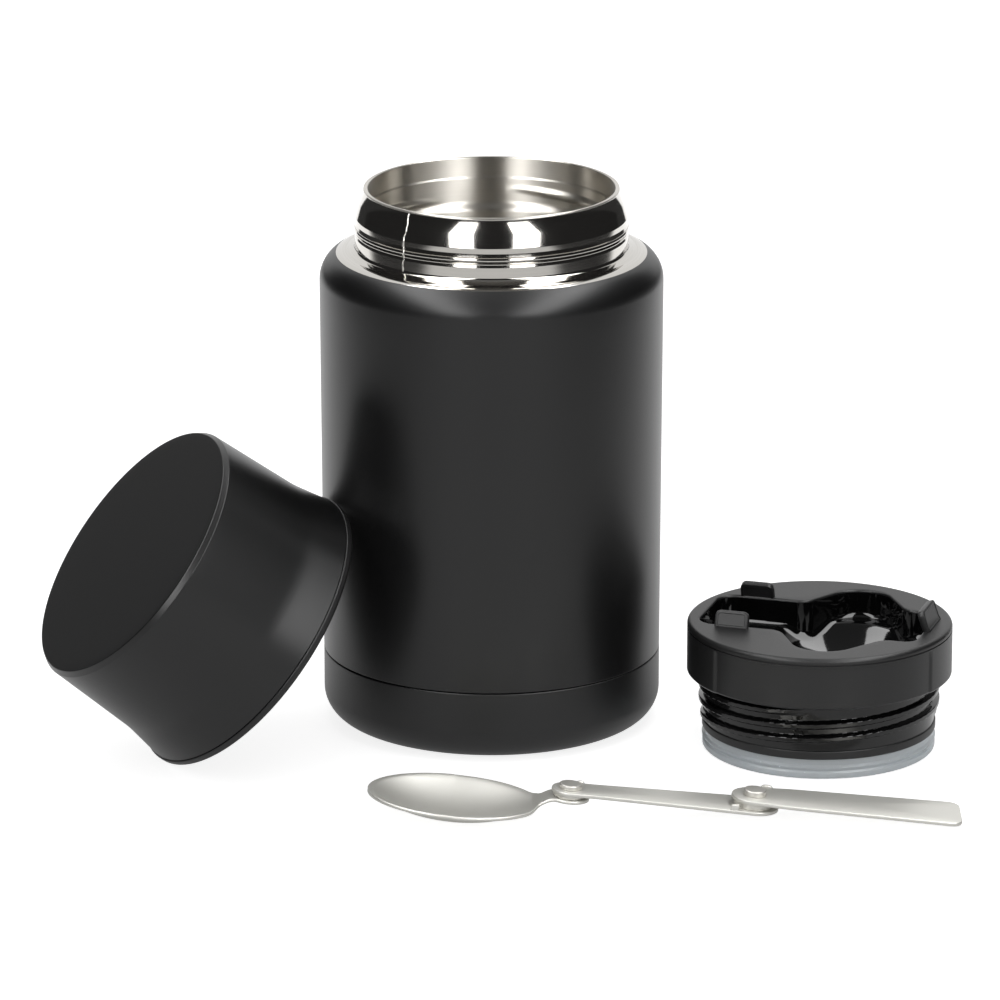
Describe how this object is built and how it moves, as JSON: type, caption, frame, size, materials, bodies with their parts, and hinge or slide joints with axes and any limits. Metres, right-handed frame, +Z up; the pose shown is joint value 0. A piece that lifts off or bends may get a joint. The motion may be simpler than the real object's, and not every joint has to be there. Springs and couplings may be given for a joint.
{
  "type": "insulated food jar",
  "caption": "Tall vacuum-insulated steel food jar, open, with its cup lid leaning on it, its recessed screw stopper beside it and a folding spoon laid open in front.",
  "frame": {"origin": "centre of the jar's base on the table", "axes": "+Z up along the jar's axis; +X towards the stopper and the spoon's handle, -Y towards the camera"},
  "size_m": [0.2408, 0.1504, 0.1453],
  "materials": {
    "powder_coat": "matte",
    "liner_steel": "satin",
    "seal_glass": "gloss",
    "getter_alloy": "matte",
    "foil": "polished",
    "base_plastic": "matte",
    "cup_coat": "satin",
    "cup_plastic": "matte",
    "cover_plastic": "matte",
    "gloss_plastic": "gloss",
    "inner_plastic": "matte",
    "foam": "matte",
    "silicone": "satin",
    "spoon_steel": "satin"
  },
  "bodies": {
    "jar": {"outer_shell": "powder_coat", "inner_liner": "liner_steel", "bottom_disc": "liner_steel", "seal_pellet": "seal_glass", "getter_strap": "liner_steel", "getter_pill": "getter_alloy", "radiation_foil": "foil", "base_cap": "base_plastic"},
    "cup": {"cup_shell": "cup_coat", "cup_liner": "cup_plastic"},
    "stopper": {"stopper_cover": "cover_plastic", "stopper_body": "gloss_plastic", "stopper_base": "inner_plastic", "stopper_foam": "foam", "gasket": "silicone"},
    "spoon": {"spoon_bowl": "spoon_steel", "rivet_front": "spoon_steel", "washer_front": "spoon_steel"},
    "link": {"spoon_link": "spoon_steel", "rivet_rear": "spoon_steel", "washer_rear": "spoon_steel"},
    "handle": {"spoon_handle": "spoon_steel"}
  },
  "joints": [
    {"name": "cup_lift", "type": "slide", "parent": "jar", "child": "cup", "axis": [-0.1875, -0.0898, 0.9781], "range_m": [0, 0.16]},
    {"name": "stopper_lift", "type": "slide", "parent": "jar", "child": "stopper", "axis": [0, 0, 1], "range_m": [0, 0.16]},
    {"name": "spoon_lift", "type": "slide", "parent": "jar", "child": "spoon", "axis": [0, 0, 1], "range_m": [0, 0.16]},
    {"name": "front_pivot", "type": "hinge", "parent": "spoon", "child": "link", "pos_m": [0.02015, -0.0878, 0.00596], "axis": [-0.0955, 0, -0.9954], "range_deg": [0, 180]},
    {"name": "rear_pivot", "type": "hinge", "parent": "link", "child": "handle", "pos_m": [0.06743, -0.0878, 0.00142], "axis": [-0.0955, 0, -0.9954], "range_deg": [0, 180]}
  ]
}
